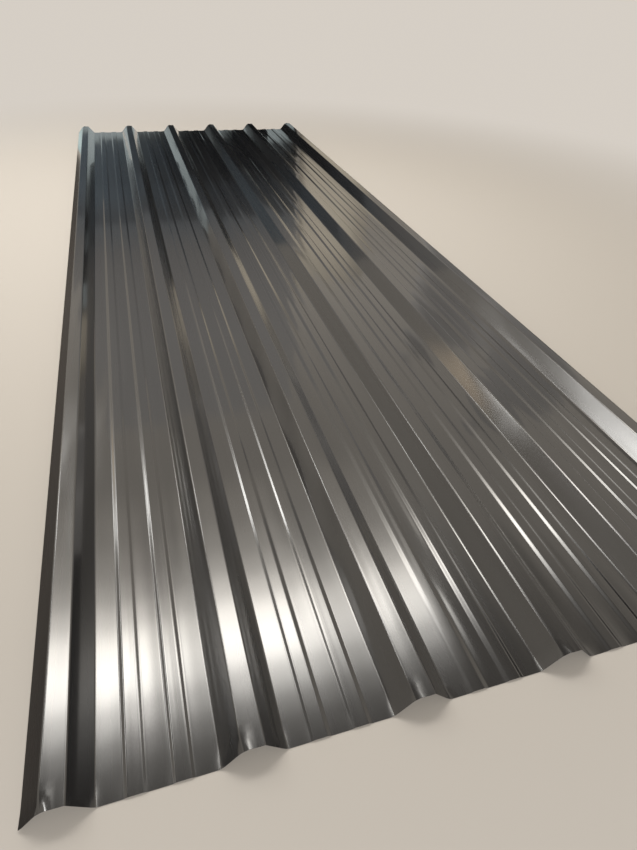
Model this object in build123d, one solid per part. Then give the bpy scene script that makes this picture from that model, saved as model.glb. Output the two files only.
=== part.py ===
from build123d import *
from math import hypot
import os

# One trapezoidal roofing sheet, roll-formed from a single strip of painted steel.
# Millimetres. X runs across the ribs, Y along them, Z up, ribs upwards.
# The origin is on the floor under the middle of the sheet.
# Widths and heights of the profile are taken on the line half way through the metal.

# Strip
sheet_length = 3000.0
sheet_thickness = 0.5

# Major ribs
rib_count = 6
rib_pitch = 203.0
rib_height = 28.0
rib_top_width = 25.0
rib_base_width = 73.0
rib_bend_radius = 4.0

# Shallow stiffeners rolled into each pan between the ribs
stiffeners_per_pan = 2
stiffener_spacing = 50.0
stiffener_height = 1.8
stiffener_top_width = 15.0
stiffener_base_width = 25.0
stiffener_bend_radius = 3.0

# Side laps: the left leg stops above the pan that it laps over,
# the right leg ends in a lip that carries the pan that laps over it
lap_leg_gap = 1.5
bearing_lip_width = 10.0


def trapezoid(centre, base_width, top_width, height, radius):
    """The four bends of one rib or stiffener, as (x, z, inside radius)."""
    half_base = base_width / 2
    half_top = top_width / 2
    return [
        (centre - half_base, 0.0, radius),
        (centre - half_top, height, radius),
        (centre + half_top, height, radius),
        (centre + half_base, 0.0, radius),
    ]


def rib(centre):
    return trapezoid(centre, rib_base_width, rib_top_width, rib_height, rib_bend_radius)


def pan_stiffeners(pan_centre):
    """The bends of the stiffeners of one pan, spread evenly about its middle."""
    bends = []
    for index in range(stiffeners_per_pan):
        centre = pan_centre + (index - (stiffeners_per_pan - 1) / 2) * stiffener_spacing
        bends += trapezoid(
            centre,
            stiffener_base_width,
            stiffener_top_width,
            stiffener_height,
            stiffener_bend_radius,
        )
    return bends


def profile_bends():
    """Every bend from the left free edge to the right one, with the two edges as its ends."""
    first_centre = -(rib_count - 1) * rib_pitch / 2
    bends = []
    for index in range(rib_count):
        centre = first_centre + index * rib_pitch
        bends += rib(centre)
        if index < rib_count - 1:
            bends += pan_stiffeners(centre + rib_pitch / 2)
    flank_run = (rib_base_width - rib_top_width) / 2
    left_foot_x = bends[0][0]
    left_edge_x = left_foot_x + flank_run * lap_leg_gap / rib_height
    bends[0] = (left_edge_x, lap_leg_gap, 0.0)
    right_edge_x = bends[-1][0] + bearing_lip_width
    bends.append((right_edge_x, 0.0, 0.0))
    middle_x = (left_edge_x + right_edge_x) / 2
    return [(x - middle_x, z + sheet_thickness / 2, radius) for x, z, radius in bends]


def leg_direction(start, end):
    length = hypot(end[0] - start[0], end[1] - start[1])
    return (end[0] - start[0]) / length, (end[1] - start[1]) / length


def face_line(bends, offset):
    """One face of the sheet: the bends moved sideways by offset, up if it is positive.

    Each corner moves along its mitre, so the metal keeps its thickness on every leg.
    The face on the inside of a bend has the bend's own radius, and the other face
    that radius plus the thickness.
    """
    directions = [leg_direction(a, b) for a, b in zip(bends, bends[1:])]
    corners = []
    radii = []
    for index, (x, z, radius) in enumerate(bends):
        dx_in, dz_in = directions[max(index - 1, 0)]
        dx_out, dz_out = directions[min(index, len(directions) - 1)]
        stretch = offset / (1 + dx_in * dx_out + dz_in * dz_out)
        corners.append((x - (dz_in + dz_out) * stretch, z + (dx_in + dx_out) * stretch))
        turn = dx_in * dz_out - dz_in * dx_out
        outside = turn * offset < 0
        radii.append(radius + sheet_thickness if outside else radius)
    return corners, radii[1:-1]


def sheet_section():
    """The cut end of the sheet: two faces with concentric bends, closed at both edges."""
    bends = profile_bends()
    top_corners, top_radii = face_line(bends, sheet_thickness / 2)
    under_corners, under_radii = face_line(bends, -sheet_thickness / 2)
    outline = [
        FilletPolyline(*top_corners, radius=top_radii),
        Line(top_corners[-1], under_corners[-1]),
        FilletPolyline(*under_corners, radius=under_radii),
        Line(under_corners[0], top_corners[0]),
    ]
    return make_face(outline)


def corrugated_sheet():
    section = Plane.XZ * sheet_section()
    sheet = extrude(section, amount=sheet_length / 2, both=True)
    sheet.label = "corrugated_sheet"
    return sheet


if __name__ == "__main__":
    os.makedirs("parts", exist_ok=True)
    export_step(corrugated_sheet(), "parts/corrugated_sheet.step")
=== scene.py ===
from math import radians

import bpy
import numpy as np
from bpy.props import FloatProperty, FloatVectorProperty, IntProperty, PointerProperty
from mathutils import Matrix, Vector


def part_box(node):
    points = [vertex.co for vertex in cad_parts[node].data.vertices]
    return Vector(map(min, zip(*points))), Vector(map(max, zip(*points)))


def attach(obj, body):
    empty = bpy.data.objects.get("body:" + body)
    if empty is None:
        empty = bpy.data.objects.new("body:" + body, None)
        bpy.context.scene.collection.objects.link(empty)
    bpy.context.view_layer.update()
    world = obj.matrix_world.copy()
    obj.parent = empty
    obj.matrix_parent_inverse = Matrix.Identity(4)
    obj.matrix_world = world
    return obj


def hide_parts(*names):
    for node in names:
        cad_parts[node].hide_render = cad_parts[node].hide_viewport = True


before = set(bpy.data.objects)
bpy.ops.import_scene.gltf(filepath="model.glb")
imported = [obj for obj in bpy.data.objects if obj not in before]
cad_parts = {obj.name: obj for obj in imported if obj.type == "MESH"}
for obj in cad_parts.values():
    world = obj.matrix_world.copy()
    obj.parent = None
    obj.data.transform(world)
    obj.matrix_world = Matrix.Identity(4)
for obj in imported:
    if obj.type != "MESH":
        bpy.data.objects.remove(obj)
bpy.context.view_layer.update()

bl_info = {
    "name": "Trapezoidal Roofing Sheet",
    "version": (1, 0, 0),
    "blender": (4, 5, 0),
    "location": "3D View > Sidebar > Roofing",
    "description": "Builds a roll-formed, colour-coated roofing sheet and a plain studio round it",
    "category": "Object",
}

NODE = "corrugated_sheet"
BODY = "root"
STRIP_MAP = "strip"
CAD_LOW, CAD_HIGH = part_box(NODE)
MM = 0.001


def length_prop(name, default, description):
    return FloatProperty(
        name=name, default=default, description=description, unit="LENGTH", precision=5
    )


def colour_prop(name, default, description):
    return FloatVectorProperty(
        name=name, default=default, description=description, subtype="COLOR", min=0.0, max=1.0
    )


def brightness_prop(name, default, description):
    return FloatProperty(name=name, default=default, description=description, min=0.0)


class RoofingProfileSettings(bpy.types.PropertyGroup):
    """Sizes of the rolled profile, taken half way through the metal."""

    thickness: length_prop("Thickness", 0.5 * MM, "Steel with its coatings")
    rib_count: IntProperty(name="Ribs", default=6, min=2, description="Number of tall ribs")
    rib_pitch: length_prop("Rib Pitch", 203 * MM, "From the middle of one rib to the next")
    rib_height: length_prop("Rib Height", 28 * MM, "From the pans to the crests")
    rib_top_width: length_prop("Rib Top Width", 25 * MM, "Width of a crest between its bends")
    rib_base_width: length_prop("Rib Base Width", 73 * MM, "Width of a rib between its feet")
    rib_bend_radius: length_prop("Rib Bend Radius", 4 * MM, "Inside radius of the ribs' bends")
    stiffener_spacing: length_prop("Stiffener Spacing", 50 * MM, "Between the two stiffeners of a pan")
    stiffener_height: length_prop("Stiffener Height", 1.8 * MM, "Rise of a stiffener above its pan")
    stiffener_top_width: length_prop("Stiffener Top Width", 15 * MM, "Width between the upper bends")
    stiffener_base_width: length_prop("Stiffener Base Width", 25 * MM, "Width between the lower bends")
    stiffener_bend_radius: length_prop("Stiffener Bend Radius", 7 * MM, "Inside radius of its bends")
    lap_leg_gap: length_prop("Lap Leg Gap", 1.5 * MM, "How far above the pans the left leg stops")
    bearing_lip_width: length_prop("Bearing Lip Width", 10 * MM, "Flat lip along the right edge")


class RoofingFormingSettings(bpy.types.PropertyGroup):
    """What rolling and cropping leave in the sheet."""

    pan_wave: length_prop("Pan Wave", 0.25 * MM, "Height of the slow waves in the flats")
    flank_wave: length_prop("Flank Wave", 0.12 * MM, "Height of the slow waves in the flanks and crests")
    end_curl: length_prop("End Curl", 1.1 * MM, "How far the shear lifts the bends at a cut end")
    end_curl_reach: length_prop("End Curl Reach", 18 * MM, "How far in from the cut the curl dies away")
    end_curl_width: length_prop("End Curl Width", 5.5 * MM, "How far to each side of a bend the curl reaches")
    seed: IntProperty(name="Seed", default=7, description="Picks the pattern of the waves")


class RoofingFinishSettings(bpy.types.PropertyGroup):
    """Colours of the coatings."""

    coat: colour_prop("Colour Coat", (0.009, 0.009, 0.010), "Glossy charcoal paint on the weather side")
    backer: colour_prop("Backer Coat", (0.33, 0.34, 0.34), "Thin service coat on the underside")
    # Partly bare steel and partly painted shade: darker than bare steel, as a shadow line along the cut
    steel_and_shade: colour_prop("Cut Steel", (0.20, 0.20, 0.22), "Bare metal on the sheared edges")
    dust: colour_prop("Dust", (0.36, 0.32, 0.27), "Fine workshop dust on the paint")


class RoofingStudioSettings(bpy.types.PropertyGroup):
    """Colours and lights of the plain studio, and the lens."""

    floor: colour_prop("Floor", (0.50, 0.475, 0.445), "Pale floor")
    surround: colour_prop("Surround", (0.67, 0.62, 0.56), "What the floor fades into far away")
    room: colour_prop("Room", (1.0, 0.912, 0.79), "Tint of the room all round")
    key_radiance: brightness_prop("Key Light", 15.5, "Brightness of the panel overhead")
    side_radiance: brightness_prop("Side Light", 11.0, "Brightness of the panels at the left")
    room_radiance: brightness_prop("Room Light", 0.84, "Brightness of the room all round")
    lens: FloatProperty(name="Lens", default=23.93, description="Focal length", unit="CAMERA")


# Profile


def profile_bends(sizes):
    """Corners of the profile before rounding, as arrays x, z and inside radius.

    One bay holds the four bends of a rib and the eight of the two stiffeners beside it.
    Every bay is that row of bends moved by the pitch, and the last one has no stiffeners.
    The two free edges come first and last, with no radius.
    """
    ends = np.array([-1.0, -1.0, 1.0, 1.0]) / 2
    upper = np.array([0.0, 1.0, 1.0, 0.0])
    rib_x = ends * np.where(upper > 0, sizes.rib_top_width, sizes.rib_base_width)
    stiffener_x = ends * np.where(upper > 0, sizes.stiffener_top_width, sizes.stiffener_base_width)
    places = sizes.rib_pitch / 2 + np.array([-0.5, 0.5]) * sizes.stiffener_spacing
    pair_x = (places[:, None] + stiffener_x).ravel()
    bay_x = np.concatenate([rib_x, pair_x])
    bay_z = np.concatenate([upper * sizes.rib_height, np.tile(upper * sizes.stiffener_height, 2)])
    radii = [sizes.rib_bend_radius, sizes.stiffener_bend_radius, sizes.stiffener_bend_radius]
    bay_r = np.repeat(radii, 4)
    starts = (np.arange(sizes.rib_count) - (sizes.rib_count - 1) / 2) * sizes.rib_pitch
    used = len(starts) * len(bay_x) - len(pair_x)
    x = (starts[:, None] + bay_x).ravel()[:used]
    z = np.tile(bay_z, sizes.rib_count)[:used]
    r = np.tile(bay_r, sizes.rib_count)[:used]
    x[0] += (sizes.rib_base_width - sizes.rib_top_width) / 2 * sizes.lap_leg_gap / sizes.rib_height
    z[0] = sizes.lap_leg_gap
    x = np.append(x, x[-1] + sizes.bearing_lip_width)
    z = np.append(z, 0.0)
    r = np.append(r, 0.0)
    x -= (x[0] + x[-1]) / 2
    return x, z + sizes.thickness / 2, r


# How finely the profile is divided: steps of each bend, the places of the columns beside a bend,
# and the lengths past which a leg has four of them or two
BEND_STEPS = 3
EDGE_COLUMN = 2.5 * MM
INNER_COLUMN = 6.0 * MM
LONG_LEG = 20.0 * MM
MIDDLING_LEG = 6.0 * MM


def corner_arcs(sizes, corner, along, side, inside_radius):
    """The arc that joins the two legs at each corner, as points and normals, and where it starts and ends.

    It touches both legs, at the inside radius plus half the thickness: a point of it is its start
    plus radius times (sin a) along the leg and radius times (1 - cos a) to the side that the strip
    turns to.
    """
    turn = np.arcsin(along[:-1, 0] * along[1:, 1] - along[:-1, 1] * along[1:, 0])
    radius = inside_radius + sizes.thickness / 2
    setback = (radius * np.tan(np.abs(turn) / 2))[:, None]
    start = corner[1:-1] - along[:-1] * setback
    end = corner[1:-1] + along[1:] * setback
    angle = np.abs(turn)[:, None] * np.linspace(0, 1, BEND_STEPS + 1)
    way = np.sign(turn)[:, None, None]
    sin, cos = np.sin(angle)[..., None], np.cos(angle)[..., None]
    forward, left = along[:-1, None], side[:-1, None]
    arc = start[:, None] + radius[:, None, None] * (sin * forward + (1 - cos) * way * left)
    normal = cos * left - sin * way * forward
    return arc, normal, start, end


def leg_places(span):
    """Four places along each leg, which of them are kept, and their swell.

    A long leg has two places near each of its bends, a short one two at its thirds, and the flanks
    of the stiffeners none. The swell goes from 0 on the bends to 1 at the inner places.
    """
    spread = np.array([EDGE_COLUMN, INNER_COLUMN, -INNER_COLUMN, -EDGE_COLUMN])
    on_long = np.where(spread > 0, spread, span + spread)
    on_short = span * np.array([1, 1, 2, 2]) / 3
    is_long = span > LONG_LEG
    place = np.where(is_long, on_long, on_short)
    kept = is_long | ((span > MIDDLING_LEG) & np.array([True, False, False, True]))
    swell = np.clip(np.minimum(place, span - place) / INNER_COLUMN, 0, 1)
    return place, kept, swell


def in_order(first, bends, flats, last):
    """Values in the strip's order: first edge, first flat, each bend with the flat after it, last edge."""
    rows = np.concatenate([bends, flats[1:]], 1).reshape(-1, *bends.shape[2:])
    return np.concatenate([first, flats[0], rows, last])


def rounded_profile(sizes):
    """The line half way through the metal: points, normals, distance along it, swell and leg number.

    Straight legs run between the bends, and an arc joins them at each one.
    """
    x, z, r = profile_bends(sizes)
    corner = np.stack([x, z], 1)
    leg = np.diff(corner, axis=0)
    along = leg / np.linalg.norm(leg, axis=1)[:, None]
    side = np.stack([-along[:, 1], along[:, 0]], 1)
    arc, arc_normal, arc_start, arc_end = corner_arcs(sizes, corner, along, side, r[1:-1])

    leg_start = np.vstack([corner[:1], arc_end])
    leg_end = np.vstack([arc_start, corner[-1:]])
    span = np.linalg.norm(leg_end - leg_start, axis=1)[:, None]
    place, kept, flat_swell = leg_places(span)
    flat = leg_start[:, None] + (leg_end - leg_start)[:, None] * (place / span)[..., None]
    flat_normal = np.repeat(side[:, None], 4, 1)

    point = in_order(corner[:1], arc, flat, corner[-1:])
    normal = in_order(side[:1], arc_normal, flat_normal, side[-1:])
    on_bends = np.zeros(arc.shape[:2])
    swell = in_order(np.zeros(1), on_bends, flat_swell, np.zeros(1))
    number = np.arange(len(leg))[:, None]
    leg_of = in_order(number[0], np.tile(number[1:], BEND_STEPS + 1), np.tile(number, 4), number[-1])
    used = in_order(np.ones(1), on_bends + 1, kept, np.ones(1)) > 0
    distance = np.append(0, np.cumsum(np.linalg.norm(np.diff(point[used], axis=0), axis=1)))
    return point[used], normal[used], distance, swell[used], leg_of[used]


# Slow waves: the lengths of their sines in metres, how many sines, and the least weight of one
SHORTEST_WAVE = 0.25
LONGEST_WAVE = 1.1
WAVE_SINES = 4
LEAST_WEIGHT = 0.3

# Slope past which a part of the profile is a flank
STEEP = 0.5

# Curl: how far each bend of a bay is lifted, then the last bend, and the bulge beside a crest's
# left bend with its distance from it in curl widths
BEND_PULLS = [1.0, -1.3, 0.2, 0.8, 0.2, 0.0, 0.0, 0.1, 0.2, 0.0, 0.0, 0.1]
LAST_BEND_PULL = 0.4
BULGE_PULL = 0.9
BULGE_DISTANCE = 1.5


def stations(length, count):
    """Places along the sheet, closest at its ends: half the length times the sine of an even angle."""
    return length / 2 * np.sin(np.linspace(-np.pi / 2, np.pi / 2, count))


def slow_waves(y, rows, seed):
    """One slow wave along the sheet for each row: half the sum of a few sines placed by the seed."""
    rng = np.random.default_rng(seed)
    shape = (rows, WAVE_SINES, 1)
    lengths = rng.uniform(SHORTEST_WAVE, LONGEST_WAVE, shape)
    phases = rng.uniform(0, 2 * np.pi, shape)
    weights = rng.uniform(LEAST_WEIGHT, 1.0, shape)
    return (weights * np.sin(2 * np.pi * y / lengths + phases)).sum(1) / 2


def end_curl(sizes, forming, point, distance, y):
    """Lift of the cropped ends: a tent across each bend, fading in a straight line from the cut.

    The shear drags the feet up. It presses in the left bend of each crest, and the crest bulges
    beside it. X only grows along the profile, so it gives each bend's distance.
    """
    bends = np.interp(profile_bends(sizes)[0], point[:, 0], distance)
    pull = np.tile(BEND_PULLS, sizes.rib_count)[: len(bends) - 1]
    pull = np.append(pull, LAST_BEND_PULL)
    bulges = bends[1 :: len(BEND_PULLS)] + BULGE_DISTANCE * forming.end_curl_width
    pull = np.append(pull, np.full(len(bulges), BULGE_PULL))
    places = np.append(bends, bulges)
    tents = np.clip(1 - np.abs(distance[:, None] - places) / forming.end_curl_width, 0, 1)
    decay = np.clip(1 - (y[-1] - np.abs(y)) / forming.end_curl_reach, 0, 1)
    return forming.end_curl * (tents * pull).sum(1)[:, None] * decay


def sheet_lift(sizes, forming, point, distance, swell, leg_of, y):
    """How far each point lies off the true profile: slow waves in the flats, and the curl of the ends."""
    steep = np.abs(np.gradient(point[:, 1], distance)) > STEEP
    height = np.where(steep, forming.flank_wave, forming.pan_wave)
    waves = slow_waves(y, leg_of.max() + 1, forming.seed)[leg_of]
    return (height * swell)[:, None] * waves + end_curl(sizes, forming, point, distance, y)


# Mesh

# Skins of the sheet, in the order of its materials: weather side, underside and the four cut edges
TOP, UNDER, CUT = 0, 1, 2

# Rows along the sheet
STATIONS = 113


def grid_faces(top, under):
    """Corners of every face of a closed skin between two grids of vertex numbers, and the skin of each."""
    def quads(a, b, c, d):
        return np.stack([a.ravel(), b.ravel(), c.ravel(), d.ravel()], 1)

    def rim(upper, lower):
        return quads(upper[:-1], lower[:-1], lower[1:], upper[1:])

    faces = [
        quads(top[:-1, :-1], top[1:, :-1], top[1:, 1:], top[:-1, 1:]),
        quads(under[:-1, :-1], under[:-1, 1:], under[1:, 1:], under[1:, :-1]),
        rim(top[:, 0], under[:, 0]),
        rim(top[::-1, -1], under[::-1, -1]),
        rim(top[0, ::-1], under[0, ::-1]),
        rim(top[-1], under[-1]),
    ]
    skin = np.repeat([TOP, UNDER, CUT, CUT, CUT, CUT], [len(part) for part in faces])
    return np.concatenate(faces), skin


def build_mesh(name, points, faces, skin, corner_normals, corner_uvs):
    """A mesh from whole arrays, with its own corner normals and one UV map."""
    mesh = bpy.data.meshes.new(name)
    mesh.vertices.add(len(points))
    mesh.vertices.foreach_set("co", points.astype(np.float32).ravel())
    mesh.loops.add(faces.size)
    mesh.loops.foreach_set("vertex_index", faces.astype(np.int32).ravel())
    mesh.polygons.add(len(faces))
    mesh.polygons.foreach_set("loop_start", np.arange(0, faces.size, 4, dtype=np.int32))
    mesh.polygons.foreach_set("material_index", skin.astype(np.int32))
    mesh.polygons.foreach_set("use_smooth", np.ones(len(faces), bool))
    mesh.update(calc_edges=True)
    uv_layer = mesh.uv_layers.new(name=STRIP_MAP)
    uv_layer.data.foreach_set("uv", corner_uvs.astype(np.float32).ravel())
    mesh.normals_split_custom_set(corner_normals.reshape(-1, 3))
    return mesh


def shading_normals(normal, lift, distance, y):
    """The profile's normal, less the lift's slope across the strip and along it, at unit length."""
    slope_across = np.gradient(lift, distance, axis=0)[..., None]
    slope_along = np.gradient(lift, y, axis=1)
    forward = np.stack([normal[:, 1], -normal[:, 0]], 1)[:, None]
    leaning = normal[:, None] - forward * slope_across
    shading = np.stack([leaning[..., 0], -slope_along, leaning[..., 1]], -1)
    return shading / np.linalg.norm(shading, axis=-1)[..., None]


def face_corner_normals(points, faces, skin, shading):
    """The shading normals on the top, their opposites on the underside, and flat ones on the cut edges."""
    corners = points[faces]
    flat = np.cross(corners[:, 2] - corners[:, 0], corners[:, 3] - corners[:, 1])
    flat /= np.linalg.norm(flat, axis=1)[:, None]
    smooth = np.concatenate([shading, -shading])[faces]
    return np.where((skin == CUT)[:, None, None], flat[:, None], smooth)


def sheet_mesh(sizes, forming):
    """The whole sheet as a closed skin.

    A point is the rounded profile at a distance s across the strip, at a place y along it, plus
    the lift and plus or minus half the thickness, both along the profile's normal. Its UV is (s, y).
    """
    point, normal, distance, swell, leg_of = rounded_profile(sizes)
    y = stations(CAD_HIGH.y - CAD_LOW.y, STATIONS)
    lift = sheet_lift(sizes, forming, point, distance, swell, leg_of, y)
    shape = (len(distance), len(y))

    def skin_points(offset):
        flat = point[:, None] + normal[:, None] * (lift + offset)[..., None]
        return np.stack([flat[..., 0], np.broadcast_to(y, shape), flat[..., 1]], -1)

    points = np.concatenate([skin_points(side * sizes.thickness / 2).reshape(-1, 3) for side in (1, -1)])
    number = np.arange(len(points)).reshape(2, *shape)
    faces, skin = grid_faces(number[0], number[1])
    shading = shading_normals(normal, lift, distance, y).reshape(-1, 3)
    corner_normals = face_corner_normals(points, faces, skin, shading)
    strip = np.stack(np.broadcast_arrays(distance[:, None], y[None]), -1).reshape(-1, 2)
    corner_uvs = np.concatenate([strip, strip])[faces]
    return build_mesh(NODE, points, faces, skin, corner_normals, corner_uvs)


# Materials


def add(tree, kind, links=None, **settings):
    """A node with its settings, and its sockets set to values or linked to other nodes' outputs."""
    node = tree.nodes.new(kind)
    for key, value in settings.items():
        setattr(node, key, value)
    for socket, value in (links or {}).items():
        if isinstance(value, bpy.types.NodeSocket):
            tree.links.new(value, node.inputs[socket])
        else:
            node.inputs[socket].default_value = value
    return node


def new_group(name, inputs, outputs):
    """An empty node group. Inputs are given as name: default, and one without a default is a vector."""
    tree = bpy.data.node_groups.new(name, "ShaderNodeTree")
    for label, default in inputs.items():
        kind = "NodeSocketVector" if default is None else "NodeSocketFloat"
        socket = tree.interface.new_socket(label, in_out="INPUT", socket_type=kind)
        if default is not None:
            socket.default_value = default
    for label in outputs:
        tree.interface.new_socket(label, in_out="OUTPUT", socket_type="NodeSocketFloat")
    return tree, tree.nodes.new("NodeGroupInput"), tree.nodes.new("NodeGroupOutput")


def stretched_noise(tree, strip, across, along, detail):
    """Noise drawn out along the sheet: across and along are its repeats in each metre."""
    scaled = add(tree, "ShaderNodeVectorMath", {0: strip, 1: (across, along, 1.0)}, operation="MULTIPLY")
    return add(
        tree,
        "ShaderNodeTexNoise",
        {"Vector": scaled.outputs[0], "Scale": 1.0, "Detail": detail},
        noise_dimensions="2D",
    ).outputs["Fac"]


def band(tree, value, low, high):
    """0 at low, 1 at high, a straight change between them and level beyond them."""
    return add(
        tree, "ShaderNodeMapRange", {"Value": value, "From Min": low, "From Max": high}
    ).outputs["Result"]


def maths(tree, operation, a, b):
    return add(tree, "ShaderNodeMath", {0: a, 1: b}, operation=operation).outputs[0]


def times(tree, a, b):
    return maths(tree, "MULTIPLY", a, b)


def plus(tree, a, b):
    return maths(tree, "ADD", a, b)


def rolled_grain_group():
    """Streaks that the forming rolls leave along the strip: a height, and a mask of the duller ones."""
    tree, given, result = new_group(
        "Rolled grain", {"Strip": None, "Fine": 1.0, "Broad": 1.0}, ["Height", "Streaks"]
    )
    strip = given.outputs["Strip"]
    fine = stretched_noise(tree, strip, across=160.0, along=0.9, detail=1.0)
    broad = stretched_noise(tree, strip, across=45.0, along=0.6, detail=1.0)
    fine_height = times(tree, fine, given.outputs["Fine"])
    broad_height = times(tree, broad, given.outputs["Broad"])
    tree.links.new(plus(tree, fine_height, broad_height), result.inputs["Height"])
    tree.links.new(band(tree, broad, low=0.35, high=0.7), result.inputs["Streaks"])
    return tree


def workshop_dust_group():
    """Fine dust and rubbed patches: a mask of specks and a mask of soft smears."""
    tree, given, result = new_group("Workshop dust", {"Strip": None, "Amount": 1.0}, ["Specks", "Smears"])
    strip = given.outputs["Strip"]
    fine = stretched_noise(tree, strip, across=900.0, along=900.0, detail=2.0)
    wide = stretched_noise(tree, strip, across=5.0, along=2.5, detail=3.0)
    drawn_out = stretched_noise(tree, strip, across=30.0, along=4.0, detail=2.0)
    patches = times(tree, band(tree, wide, low=0.42, high=0.75), given.outputs["Amount"])
    specks = times(tree, band(tree, fine, low=0.66, high=0.78), patches)
    smears = times(tree, band(tree, drawn_out, low=0.45, high=0.8), patches)
    tree.links.new(specks, result.inputs["Specks"])
    tree.links.new(smears, result.inputs["Smears"])
    return tree


def new_material(name):
    material = bpy.data.materials.new(name)
    material.use_nodes = True
    tree = material.node_tree
    return material, tree, tree.nodes["Principled BSDF"]


def group_node(tree, group, strip, **values):
    node = add(tree, "ShaderNodeGroup", node_tree=group)
    tree.links.new(strip, node.inputs["Strip"])
    for label, value in values.items():
        node.inputs[label].default_value = value
    return node


def full_colour(colour):
    """A colour socket as it is, or three values with an alpha of one."""
    return colour if isinstance(colour, bpy.types.NodeSocket) else (*colour, 1.0)


def tinted(tree, mask, low, high):
    """A colour between two, by a mask. A Mix node's colours are its sockets 6 and 7."""
    sockets = {0: mask, 6: full_colour(low), 7: full_colour(high)}
    return add(tree, "ShaderNodeMix", sockets, data_type="RGBA").outputs[2]


def multiplied(tree, first, second):
    """Two colours multiplied."""
    sockets = {0: 1.0, 6: full_colour(first), 7: full_colour(second)}
    return add(tree, "ShaderNodeMix", sockets, data_type="RGBA", blend_type="MULTIPLY").outputs[2]


def grain_bump(tree, paint, rolled, depth):
    """The streaks as a bump of the paint, this deep."""
    bump = add(
        tree, "ShaderNodeBump", {"Height": rolled.outputs["Height"], "Strength": 1.0, "Distance": depth}
    )
    tree.links.new(bump.outputs[0], paint.inputs["Normal"])


# Weather side: the darkest and palest streak as shares of the coat's colour, how much dust shows in
# the smears and specks, the roughness with what streaks and smears add to it, and the bump
PAINT_STREAKS = (0.9, 1.12)
SMEAR_VEIL = 0.012
SPECK_VEIL = 0.15
PAINT_ROUGHNESS = 0.25
STREAK_ROUGHNESS = 0.05
SMEAR_ROUGHNESS = 0.06
PAINT_GRAIN_DEPTH = 0.06 * MM


def colour_coat(finish, grain, dust):
    """Glossy charcoal paint with fine streaks along the sheet, faint smears and a little dust."""
    material, tree, paint = new_material("colour_coat")
    strip = add(tree, "ShaderNodeUVMap", uv_map=STRIP_MAP).outputs[0]
    rolled = group_node(tree, grain, strip, Fine=0.35, Broad=1.6)
    dusty = group_node(tree, dust, strip, Amount=0.6)
    streaks, smears = rolled.outputs["Streaks"], dusty.outputs["Smears"]
    coat = np.array(finish.coat)
    streaked = tinted(tree, streaks, coat * PAINT_STREAKS[0], coat * PAINT_STREAKS[1])
    veil = times(tree, smears, SMEAR_VEIL)
    soiled = plus(tree, veil, times(tree, dusty.outputs["Specks"], SPECK_VEIL))
    tree.links.new(tinted(tree, soiled, streaked, finish.dust), paint.inputs["Base Color"])
    duller = plus(tree, times(tree, streaks, STREAK_ROUGHNESS), times(tree, smears, SMEAR_ROUGHNESS))
    tree.links.new(plus(tree, duller, PAINT_ROUGHNESS), paint.inputs["Roughness"])
    grain_bump(tree, paint, rolled, PAINT_GRAIN_DEPTH)
    paint.inputs["Metallic"].default_value = 0.0
    paint.inputs["IOR"].default_value = 1.5
    paint.inputs["Specular IOR Level"].default_value = 0.28
    paint.inputs["Coat Weight"].default_value = 1.0
    paint.inputs["Coat IOR"].default_value = 1.7
    paint.inputs["Coat Roughness"].default_value = 0.08
    return material


# Underside: its streaks as above, the colour and strength of its rubbed patches, the roughness with
# what streaks add to it, and the bump
BACKER_STREAKS = (0.92, 1.05)
RUBBED_SHADE = 0.72
RUBBED_VEIL = 0.3
BACKER_ROUGHNESS = 0.42
BACKER_STREAK_ROUGHNESS = 0.1
BACKER_GRAIN_DEPTH = 0.05 * MM


def backer_coat(finish, grain, dust):
    """Thin pale grey service coat of the underside, duller than the paint."""
    material, tree, paint = new_material("backer_coat")
    strip = add(tree, "ShaderNodeUVMap", uv_map=STRIP_MAP).outputs[0]
    rolled = group_node(tree, grain, strip, Fine=0.8, Broad=1.0)
    dusty = group_node(tree, dust, strip, Amount=1.0)
    streaks = rolled.outputs["Streaks"]
    backer = np.array(finish.backer)
    streaked = tinted(tree, streaks, backer * BACKER_STREAKS[0], backer * BACKER_STREAKS[1])
    rubbed = times(tree, dusty.outputs["Smears"], RUBBED_VEIL)
    tree.links.new(tinted(tree, rubbed, streaked, backer * RUBBED_SHADE), paint.inputs["Base Color"])
    rough = plus(tree, times(tree, streaks, BACKER_STREAK_ROUGHNESS), BACKER_ROUGHNESS)
    tree.links.new(rough, paint.inputs["Roughness"])
    grain_bump(tree, paint, rolled, BACKER_GRAIN_DEPTH)
    return material


# Cut edges: repeats of the torn pattern in each metre, the dull parts' share of the steel's colour,
# and the roughness with what a torn part adds to it
TORN_REPEATS = 1800.0
DULL_SHADE = 0.35
BURNISHED_ROUGHNESS = 0.2
TORN_ROUGHNESS = 0.4


def cut_steel(finish):
    """Sheared steel of the cut edges, burnished in places and torn in others, and darker than bare steel as a
    painted shadow line along the cut.
    """
    material, tree, metal = new_material("cut_steel")
    place = add(tree, "ShaderNodeTexCoord").outputs["Object"]
    torn = add(
        tree, "ShaderNodeTexNoise", {"Vector": place, "Scale": TORN_REPEATS, "Detail": 3.0}
    ).outputs["Fac"]
    # The steel's colour is partly painted shade, a dark shadow line along the cut edges
    steel_and_shade = np.array(finish.steel_and_shade)
    shade = tinted(tree, band(tree, torn, low=0.35, high=0.7), steel_and_shade * DULL_SHADE, steel_and_shade)
    tree.links.new(shade, metal.inputs["Base Color"])
    rough = plus(tree, times(tree, torn, TORN_ROUGHNESS), BURNISHED_ROUGHNESS)
    tree.links.new(rough, metal.inputs["Roughness"])
    metal.inputs["Metallic"].default_value = 1.0
    return material


# Studio

# Floor: half its width, how far it lies under the sheet, and where it fades, from the middle outwards
FLOOR_HALF = 30.0
FLOOR_GAP = 0.2 * MM
FADE_START = 1.0
FADE_END = 2.6


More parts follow.
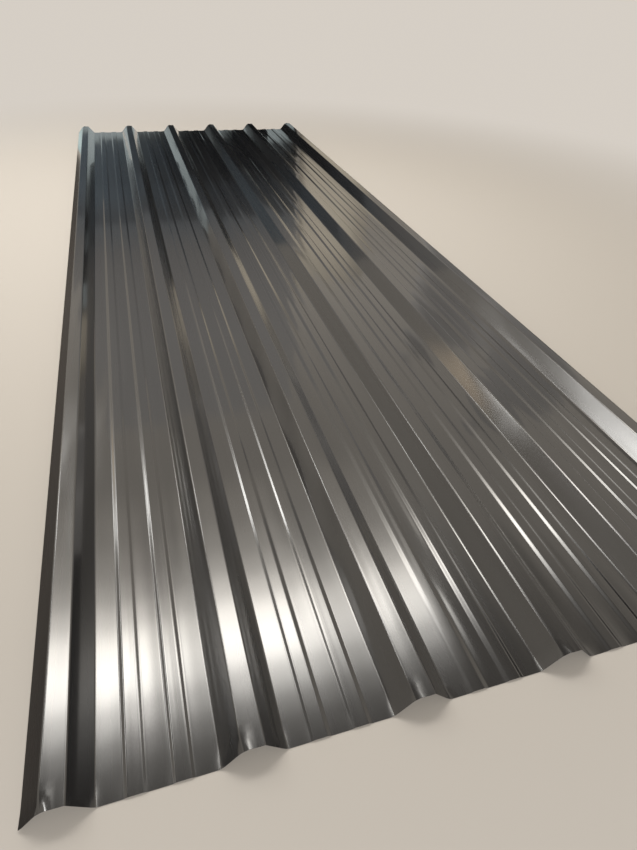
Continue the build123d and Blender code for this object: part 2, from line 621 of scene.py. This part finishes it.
def floor_material(studio):
    """Pale floor. Away from the sheet the camera and mirrors see it fade into a pale surround."""
    material, tree, paint = new_material("studio_floor")
    material.cycles.emission_sampling = "NONE"
    paint.inputs["Base Color"].default_value = (*studio.floor, 1.0)
    paint.inputs["Roughness"].default_value = 0.9
    paint.inputs["Specular IOR Level"].default_value = 0.1
    place = add(tree, "ShaderNodeTexCoord").outputs["Object"]
    away = add(tree, "ShaderNodeVectorMath", {0: place}, operation="LENGTH").outputs["Value"]
    fade = add(
        tree,
        "ShaderNodeMapRange",
        {"Value": away, "From Min": FADE_START, "From Max": FADE_END},
        interpolation_type="SMOOTHSTEP",
    ).outputs["Result"]
    ray = add(tree, "ShaderNodeLightPath")
    mirrored = maths(tree, "MAXIMUM", ray.outputs["Is Glossy Ray"], ray.outputs["Is Transmission Ray"])
    direct = maths(tree, "MAXIMUM", ray.outputs["Is Camera Ray"], mirrored)
    pale = add(tree, "ShaderNodeEmission", {"Color": (*studio.surround, 1.0), "Strength": 1.0})
    seen = times(tree, fade, direct)
    mix = add(tree, "ShaderNodeMixShader", {0: seen, 1: paint.outputs[0], 2: pale.outputs[0]})
    tree.links.new(mix.outputs[0], tree.nodes["Material Output"].inputs["Surface"])
    return material


def studio_floor(studio):
    """A square floor just under the sheet."""
    corners = np.array([[-1, -1], [1, -1], [1, 1], [-1, 1]]) * FLOOR_HALF
    height = CAD_LOW.z - FLOOR_GAP
    mesh = bpy.data.meshes.new("studio_floor")
    mesh.from_pydata([(x, y, height) for x, y in corners], [], [(0, 1, 2, 3)])
    mesh.materials.append(floor_material(studio))
    floor = bpy.data.objects.new("studio_floor", mesh)
    bpy.context.scene.collection.objects.link(floor)


def grey_steps(tree, place, steps, smoothness="LINEAR"):
    """A ramp of greys: each step gives a place from 0 to 1 and how bright it is there."""
    ramp = add(tree, "ShaderNodeValToRGB", {0: place})
    ramp.color_ramp.interpolation = smoothness
    stops = ramp.color_ramp.elements
    while len(stops) < len(steps):
        stops.new(0.5)
    for stop, (position, shade) in zip(stops, steps):
        stop.position = position
        stop.color = (shade, shade, shade, 1.0)
    return ramp.outputs["Color"]


# Steps of the panels along and across them: a place from 0 to 1, and how bright a panel is there
KEY_ALONG = [
    (0.0, 0.0), (0.12, 0.9), (0.25, 1.0), (0.38, 0.5), (0.47, 0.95),
    (0.6, 1.0), (0.74, 0.45), (0.86, 0.75), (0.94, 0.6), (0.97, 0.0),
]
KEY_ACROSS = [
    (0.0, 0.0), (0.07, 0.02), (0.12, 0.1), (0.205, 0.44), (0.27, 0.9), (0.32, 1.0),
    (0.38, 0.85), (0.48, 0.38), (0.55, 0.18), (0.64, 0.09), (0.78, 0.04), (1.0, 0.0),
]
SIDE_ALONG = [
    (0.0, 0.0), (0.08, 0.8), (0.23, 0.8), (0.3, 0.03), (0.61, 0.03),
    (0.68, 0.85), (0.78, 1.0), (0.87, 0.08), (1.0, 0.0),
]
SIDE_ACROSS = [
    (0.0, 0.0), (0.1, 0.08), (0.2, 0.65), (0.28, 1.0), (0.4, 0.85),
    (0.55, 0.35), (0.65, 0.15), (0.75, 0.06), (1.0, 0.0),
]
EDGE_ALONG = [(0.0, 0.0), (0.3, 1.0), (0.7, 1.0), (1.0, 0.0)]
EDGE_ACROSS = [
    (0.0, 0.0), (0.12, 1.0), (0.41, 1.0), (0.5, 0.76), (0.59, 0.54),
    (0.68, 0.35), (0.77, 0.17), (0.86, 0.07), (1.0, 0.0),
]
LINE_ALONG = [(0.0, 0.0), (0.35, 1.0), (0.65, 1.0), (1.0, 0.0)]
LINE_ACROSS = [(0.0, 0.0), (0.35, 1.0), (0.7, 0.9), (1.0, 0.0)]
TAN_ACROSS = [(0.0, 0.0), (0.5, 1.0), (1.0, 0.0)]

# Colours of the panels where their steps across start and end, and two panels' brightness as a
# share of the side light
KEY_WHITE = ((1.0, 0.985, 0.95), (1.0, 0.90, 0.76))
SIDE_WHITE = ((1.0, 0.99, 0.96), (1.0, 0.98, 0.94))
PANEL_TAN = ((1.0, 0.75, 0.47), (1.0, 0.75, 0.47))
LINE_SHARE = 1.2
TAN_SHARE = 0.15


def light_panel(name, centre, size, radiance, colours, along, across, turn=0.0):
    """A soft panel that faces down, as bright as radiance times its steps along and across."""
    data = bpy.data.lights.new(name, "AREA")
    data.shape = "RECTANGLE"
    data.size, data.size_y = size
    data.energy = radiance * np.pi * size[0] * size[1]
    data.use_nodes = True
    tree = data.node_tree
    face = add(tree, "ShaderNodeNewGeometry").outputs["Parametric"]
    place = add(tree, "ShaderNodeSeparateXYZ", {0: face}).outputs
    greys = times(
        tree, grey_steps(tree, place["X"], along, "EASE"), grey_steps(tree, place["Y"], across, "EASE")
    )
    glow = tree.nodes["Emission"]
    tree.links.new(greys, glow.inputs["Strength"])
    tree.links.new(tinted(tree, place["Y"], *colours), glow.inputs["Color"])
    light = bpy.data.objects.new(name, data)
    light.matrix_world = Matrix.Translation(centre) @ Matrix.Rotation(turn, 4, "Z")
    bpy.context.scene.collection.objects.link(light)


def light_panels(studio):
    """The key light overhead, three panels at the left, and a dim tan one beyond them."""
    light_panel(
        "key_panel",
        centre=(-0.138, 0.5, 2.5),
        size=(2.75, 2.2),
        radiance=studio.key_radiance,
        colours=KEY_WHITE,
        along=KEY_ALONG,
        across=KEY_ACROSS,
    )
    light_panel(
        "side_panel",
        centre=(-2.013, 2.283, 2.5),
        size=(2.4, 2.2),
        radiance=studio.side_radiance,
        colours=SIDE_WHITE,
        along=SIDE_ALONG,
        across=SIDE_ACROSS,
        turn=radians(-33),
    )
    light_panel(
        "edge_panel",
        centre=(-2.26, 0.95, 2.48),
        size=(0.5, 2.5),
        radiance=studio.side_radiance,
        colours=SIDE_WHITE,
        along=EDGE_ALONG,
        across=EDGE_ACROSS,
    )
    light_panel(
        "line_panel",
        centre=(-1.478, 1.33, 2.47),
        size=(0.26, 0.78),
        radiance=LINE_SHARE * studio.side_radiance,
        colours=SIDE_WHITE,
        along=LINE_ALONG,
        across=LINE_ACROSS,
    )
    light_panel(
        "tan_panel",
        centre=(-3.4, 3.3, 2.46),
        size=(0.8, 1.9),
        radiance=TAN_SHARE * studio.side_radiance,
        colours=PANEL_TAN,
        along=EDGE_ALONG,
        across=TAN_ACROSS,
    )


def mirrored_card(name, corners, shades):
    """A flat card that glows and that only the paint mirrors, a painted reflection rather than a lamp: it
    lights nothing and casts no shadow. Shades gives its colours from the parts of a place on it.
    """
    mesh = bpy.data.meshes.new(name)
    mesh.from_pydata(corners, [], [(0, 1, 2, 3)])
    material = bpy.data.materials.new(name)
    material.use_nodes = True
    material.cycles.emission_sampling = "NONE"
    tree = material.node_tree
    place = add(tree, "ShaderNodeTexCoord").outputs["Object"]
    part = add(tree, "ShaderNodeSeparateXYZ", {0: place}).outputs
    # The card glows: a painted reflection, not a lamp
    glow = add(tree, "ShaderNodeEmission", {"Color": shades(tree, part), "Strength": 1.0})
    tree.links.new(glow.outputs[0], tree.nodes["Material Output"].inputs["Surface"])
    mesh.materials.append(material)
    card = bpy.data.objects.new(name, mesh)
    card.visible_camera = False
    card.visible_diffuse = False
    card.visible_shadow = False
    bpy.context.scene.collection.objects.link(card)


# Glowing cards beyond the far end, painted reflections in the paint: their places, their colours low down and
# higher up, and their steps
BACK_CARDS_Y = 1.80
FRONT_CARDS_Y = 1.79
EVEN = [(0.0, 1.0), (1.0, 1.0)]
FAR_TINTS = ((0.75, 0.95, 1.1), (1.0, 0.95, 0.89))
FAR_UP = [(0.16, 0.005), (0.17, 0.03), (0.262, 0.045), (0.272, 0.2), (0.44, 0.38), (0.66, 0.56), (1.0, 0.7)]
FAR_LEFT_LIFT = 0.12
BLUE_TINTS = ((0.88, 1.0, 1.0), (0.88, 1.0, 1.0))
PALE_UP = [(0.8, 0.5), (1.0, 0.2)]
LOW_UP = [(0.55, 1.0), (0.65, 0.25), (1.0, 0.12)]
LOW_ACROSS = [
    (0.0, 0.5), (0.22, 0.45), (0.33, 0.2), (0.52, 0.14), (0.62, 0.04),
    (0.74, 0.05), (0.83, 0.5), (0.9, 0.65), (1.0, 0.3),
]
RIGHT_UP = [(0.8, 0.4), (1.0, 0.1)]
TAN_TINTS = ((1.0, 0.88, 0.69), (1.0, 0.88, 0.69))
TAN_UP = [(0.0, 0.5), (0.32, 0.72), (0.43, 0.8), (0.67, 0.97), (0.78, 1.0), (0.9, 0.9), (1.0, 0.8)]
TAN_CARD_ACROSS = [
    (0.0, 0.3), (0.1, 0.95), (0.2, 1.0), (0.58, 1.0), (0.75, 0.9), (0.85, 0.72), (1.0, 0.6),
]
DIM_TINTS = ((1.0, 0.945, 0.88), (1.0, 0.945, 0.88))
DIM_LOW_ACROSS = [
    (0.0, 0.7), (0.08, 0.5), (0.16, 0.36), (0.42, 0.38), (0.66, 0.45), (0.87, 0.65), (1.0, 0.57),
]
DIM_HIGH_ACROSS = [(0.0, 0.57), (0.27, 0.5), (0.77, 0.48), (1.0, 0.6)]


def graded_card(name, left, right, top, y, tints, up, across=EVEN, left_lift=0.0):
    """An upright glowing card beyond the far end, a painted reflection.

    Its greys are the steps up its height times the steps across its width, and its tint goes from the
    first to the second between a fifth and a third of the way up. The left lift is added to the greys
    of its lower left part.
    """
    def shades(tree, part):
        height = maths(tree, "DIVIDE", part["Z"], top)
        leftwards = band(tree, part["X"], low=0.0, high=-0.55)
        lift = times(tree, times(tree, leftwards, band(tree, height, low=0.3, high=0.2)), left_lift)
        width = band(tree, part["X"], left, right)
        both = multiplied(tree, grey_steps(tree, height, up), grey_steps(tree, width, across))
        greys = add(tree, "ShaderNodeVectorMath", {0: both, 1: lift}, operation="ADD").outputs[0]
        return multiplied(tree, greys, tinted(tree, band(tree, height, low=0.2, high=0.35), *tints))

    mirrored_card(name, [(left, y, 0.0), (right, y, 0.0), (right, y, top), (left, y, top)], shades)


def far_cards():
    """The glowing cards whose painted reflections give the crests and pans their dark, blue, tan and grey
    bands.
    """
    graded_card(
        "far_card", left=-0.76, right=0.64, top=2.1, y=BACK_CARDS_Y,
        tints=FAR_TINTS, up=FAR_UP, left_lift=FAR_LEFT_LIFT,
    )
    graded_card(
        "pale_card", left=-0.81, right=-0.47, top=0.12, y=FRONT_CARDS_Y,
        tints=BLUE_TINTS, up=PALE_UP,
    )
    graded_card(
        "middle_card", left=-0.47, right=-0.33, top=0.1, y=FRONT_CARDS_Y,
        tints=BLUE_TINTS, up=PALE_UP,
    )
    graded_card(
        "low_card", left=-0.33, right=0.25, top=0.1, y=FRONT_CARDS_Y,
        tints=BLUE_TINTS, up=LOW_UP, across=LOW_ACROSS,
    )
    graded_card(
        "right_card", left=0.46, right=0.62, top=0.14, y=FRONT_CARDS_Y,
        tints=BLUE_TINTS, up=RIGHT_UP,
    )
    graded_card(
        "tan_card", left=0.66, right=1.14, top=1.05, y=BACK_CARDS_Y,
        tints=TAN_TINTS, up=TAN_UP, across=TAN_CARD_ACROSS,
    )
    graded_card(
        "dim_card_low", left=1.58, right=2.4, top=1.8, y=BACK_CARDS_Y,
        tints=DIM_TINTS, up=EVEN, across=DIM_LOW_ACROSS,
    )
    graded_card(
        "dim_card_high", left=2.4, right=3.4, top=2.7, y=BACK_CARDS_Y,
        tints=DIM_TINTS, up=EVEN, across=DIM_HIGH_ACROSS,
    )


# Glowing cards beside the sheet, painted reflections and painted shade for its flanks: two flat on the floor
# along the left leg, just clear of it, and an upright one at the right, each with its tint and its steps
# along one axis
LEG_CARDS_LEFT = -0.96
LEG_CARDS_RIGHT = -0.5496
LEG_CARDS_Z = 0.8 * MM
SHADE_TINT = (1.0, 0.86, 0.72)
SHADE_ALONG = [(0.0, 0.12), (0.45, 0.12), (0.7, 0.075), (0.9, 0.08), (0.95, 0.13), (1.0, 0.55)]
FAR_FLOOR_TINT = (0.82, 1.0, 0.97)
FAR_FLOOR_ALONG = [(0.0, 0.55), (0.1, 0.73), (0.17, 0.76), (0.4, 0.68), (1.0, 0.68)]
WALL_CARD_X = 3.0
WALL_CARD_TOP = 0.7
WALL_TINT = (1.0, 0.95, 0.9)
WALL_UP = [(0.0, 0.03), (0.6, 0.05), (1.0, 0.35)]


def stepped_card(name, corners, axis, start, end, tint, steps):
    """A flat glowing card, a painted reflection, whose greys are the steps from the start to the end of one
    axis.
    """
    def shades(tree, part):
        return multiplied(tree, grey_steps(tree, band(tree, part[axis], start, end), steps), tint)

    mirrored_card(name, corners, shades)


def leg_card(name, near, far, tint, steps):
    """A glowing card flat on the floor along the left leg, which the leg mirrors instead of the floor: a
    painted reflection.
    """
    left, right, z = LEG_CARDS_LEFT, LEG_CARDS_RIGHT, LEG_CARDS_Z
    corners = [(left, near, z), (right, near, z), (right, far, z), (left, far, z)]
    stepped_card(name, corners, "Y", near, far, tint, steps)


def wall_card(name, near, far, tint, steps):
    """An upright card at the right, a painted reflection that keeps the right flanks of the ribs dark with
    painted shade.
    """
    x, top = WALL_CARD_X, WALL_CARD_TOP
    corners = [(x, near, 0.0), (x, far, 0.0), (x, far, top), (x, near, top)]
    stepped_card(name, corners, "Z", 0.0, top, tint, steps)


def side_cards():
    """The cards that the outer left leg and the right flanks mirror, as painted reflections and painted
    shade.
    """
    leg_card("shade_card", near=-1.52, far=1.22, tint=SHADE_TINT, steps=SHADE_ALONG)
    leg_card("far_floor_card", near=1.22, far=2.3, tint=FAR_FLOOR_TINT, steps=FAR_FLOOR_ALONG)
    wall_card("right_wall_card", near=-1.8, far=1.8, tint=WALL_TINT, steps=WALL_UP)


# Walls of the room: the sine of the angle above the floor, and how bright a wall is there
RIM_STEPS = [(0.0, 0.8), (0.02, 0.8)]
UPPER_STEPS = [(0.44, 0.95), (0.7, 1.0), (0.8, 0.35), (1.0, 0.22)]
AHEAD_RIGHT_STEPS = [*RIM_STEPS, (0.04, 0.12), (0.14, 0.25), (0.28, 0.48), *UPPER_STEPS]
AHEAD_LEFT_STEPS = [*RIM_STEPS, (0.04, 0.45), (0.14, 0.9), (0.28, 0.9), *UPPER_STEPS]
AROUND_STEPS = [*RIM_STEPS, (0.04, 0.62), (0.14, 0.6), (0.28, 0.64), *UPPER_STEPS]

# How far the wall ahead is turned to the left
AHEAD_TURN = 0.3


def studio_world(studio):
    """A plain room: a pale rim at the floor, walls that brighten upwards, and a dim roof.

    Low down, the wall ahead of the camera is dark at its right and pale at its left, and the others
    are an even grey.
    """
    world = bpy.data.worlds.new("studio")
    bpy.context.scene.world = world
    world.cycles.sampling_method = "NONE"
    world.use_nodes = True
    tree = world.node_tree
    way = add(tree, "ShaderNodeTexCoord").outputs["Generated"]
    place = add(tree, "ShaderNodeSeparateXYZ", {0: way}).outputs
    right = grey_steps(tree, place["Z"], AHEAD_RIGHT_STEPS)
    left = grey_steps(tree, place["Z"], AHEAD_LEFT_STEPS)
    around = grey_steps(tree, place["Z"], AROUND_STEPS)
    front = tinted(tree, band(tree, place["X"], low=-0.2, high=-0.7), right, left)
    forward = maths(tree, "SUBTRACT", place["Y"], times(tree, place["X"], AHEAD_TURN))
    walls = tinted(tree, band(tree, forward, low=0.45, high=0.75), around, front)
    room = tree.nodes["Background"]
    tree.links.new(multiplied(tree, walls, studio.room), room.inputs["Color"])
    room.inputs["Strength"].default_value = studio.room_radiance


# Camera: its place in metres, and its turns in degrees
CAMERA_PLACE = (-0.345, -1.753, 0.680)
CAMERA_YAW = -18.98
CAMERA_PITCH = 51.06
CAMERA_ROLL = 3.19


def studio_camera(studio):
    """Stands over the near left corner of the sheet and looks down along it."""
    data = bpy.data.cameras.new("camera")
    data.lens = studio.lens
    data.sensor_width = 36.0
    data.clip_end = 200.0
    camera = bpy.data.objects.new("camera", data)
    camera.matrix_world = (
        Matrix.Translation(CAMERA_PLACE)
        @ Matrix.Rotation(radians(CAMERA_YAW), 4, "Z")
        @ Matrix.Rotation(radians(CAMERA_PITCH), 4, "X")
        @ Matrix.Rotation(radians(CAMERA_ROLL), 4, "Z")
    )
    bpy.context.scene.collection.objects.link(camera)
    bpy.context.scene.camera = camera


# Operators and panel


class ROOFING_OT_sheet(bpy.types.Operator):
    """Form the sheet and coat it."""

    bl_idname = "roofing.sheet"
    bl_label = "Roofing Sheet"

    def execute(self, context):
        scene = context.scene
        mesh = sheet_mesh(scene.roofing_profile, scene.roofing_forming)
        grain, dust = rolled_grain_group(), workshop_dust_group()
        finish = scene.roofing_finish
        mesh.materials.append(colour_coat(finish, grain, dust))
        mesh.materials.append(backer_coat(finish, grain, dust))
        mesh.materials.append(cut_steel(finish))
        sheet = bpy.data.objects.new("roofing_sheet", mesh)
        scene.collection.objects.link(sheet)
        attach(sheet, BODY)
        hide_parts(NODE)
        return {"FINISHED"}


class ROOFING_OT_studio(bpy.types.Operator):
    """Set up the plain floor and room, the light panels, the mirrored cards and the camera."""

    bl_idname = "roofing.studio"
    bl_label = "Studio"

    def execute(self, context):
        studio = context.scene.roofing_studio
        context.scene.view_settings.view_transform = "Standard"
        studio_floor(studio)
        studio_world(studio)
        light_panels(studio)
        far_cards()
        side_cards()
        studio_camera(studio)
        return {"FINISHED"}


class ROOFING_PT_panel(bpy.types.Panel):
    """The pieces and their sizes and colours, in the sidebar."""

    bl_label = "Roofing Sheet"
    bl_space_type = "VIEW_3D"
    bl_region_type = "UI"
    bl_category = "Roofing"

    def draw(self, context):
        scene = context.scene
        groups = [
            (ROOFING_OT_sheet, [scene.roofing_profile, scene.roofing_forming, scene.roofing_finish]),
            (ROOFING_OT_studio, [scene.roofing_studio]),
        ]
        for operator, settings in groups:
            box = self.layout.box()
            box.operator(operator.bl_idname)
            for group in settings:
                for name in group.__annotations__:
                    box.prop(group, name)


CLASSES = (
    RoofingProfileSettings,
    RoofingFormingSettings,
    RoofingFinishSettings,
    RoofingStudioSettings,
    ROOFING_OT_sheet,
    ROOFING_OT_studio,
    ROOFING_PT_panel,
)
SETTINGS = {
    "roofing_profile": RoofingProfileSettings,
    "roofing_forming": RoofingFormingSettings,
    "roofing_finish": RoofingFinishSettings,
    "roofing_studio": RoofingStudioSettings,
}


def register():
    for cls in CLASSES:
        bpy.utils.register_class(cls)
    for name, cls in SETTINGS.items():
        setattr(bpy.types.Scene, name, PointerProperty(type=cls))


def unregister():
    for name in SETTINGS:
        delattr(bpy.types.Scene, name)
    for cls in reversed(CLASSES):
        bpy.utils.unregister_class(cls)


def main():
    register()
    bpy.ops.roofing.sheet()
    bpy.ops.roofing.studio()


if __name__ == "__main__":
    main()
